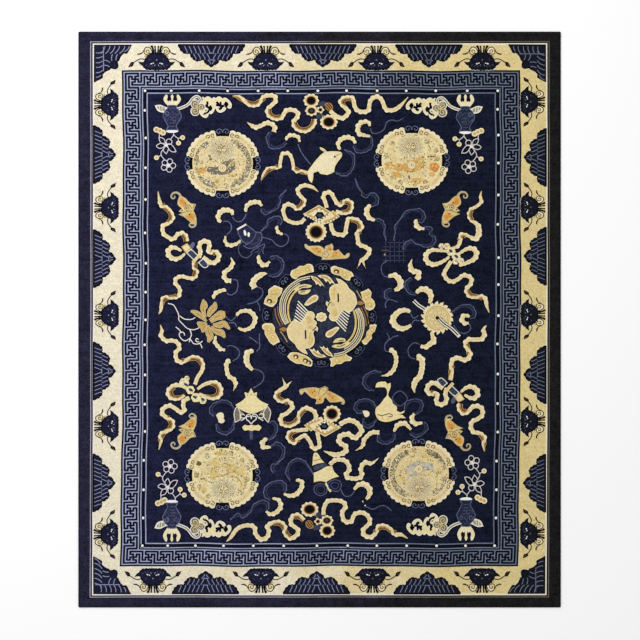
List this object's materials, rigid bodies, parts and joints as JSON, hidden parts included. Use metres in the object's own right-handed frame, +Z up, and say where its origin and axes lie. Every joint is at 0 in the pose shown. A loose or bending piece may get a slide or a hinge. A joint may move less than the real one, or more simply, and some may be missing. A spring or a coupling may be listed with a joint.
{
  "type": "chinese rug",
  "caption": "Flat hand-knotted wool carpet, rectangular, indigo field with ivory and gold motifs, key-fret and ivory borders, overcast edges.",
  "frame": {"origin": "middle of the underside, on the floor", "axes": "+X along the wefts from selvedge to selvedge, +Y along the warps towards the end at the top of the picture, +Z up out of the pile"},
  "size_m": [2.49, 2.972, 0.009],
  "materials": {
    "wool_pile": "matte short wool pile, indigo ground with ivory, gold and light blue wool"
  },
  "bodies": {
    "root": {"carpet": "wool_pile"}
  },
  "joints": []
}
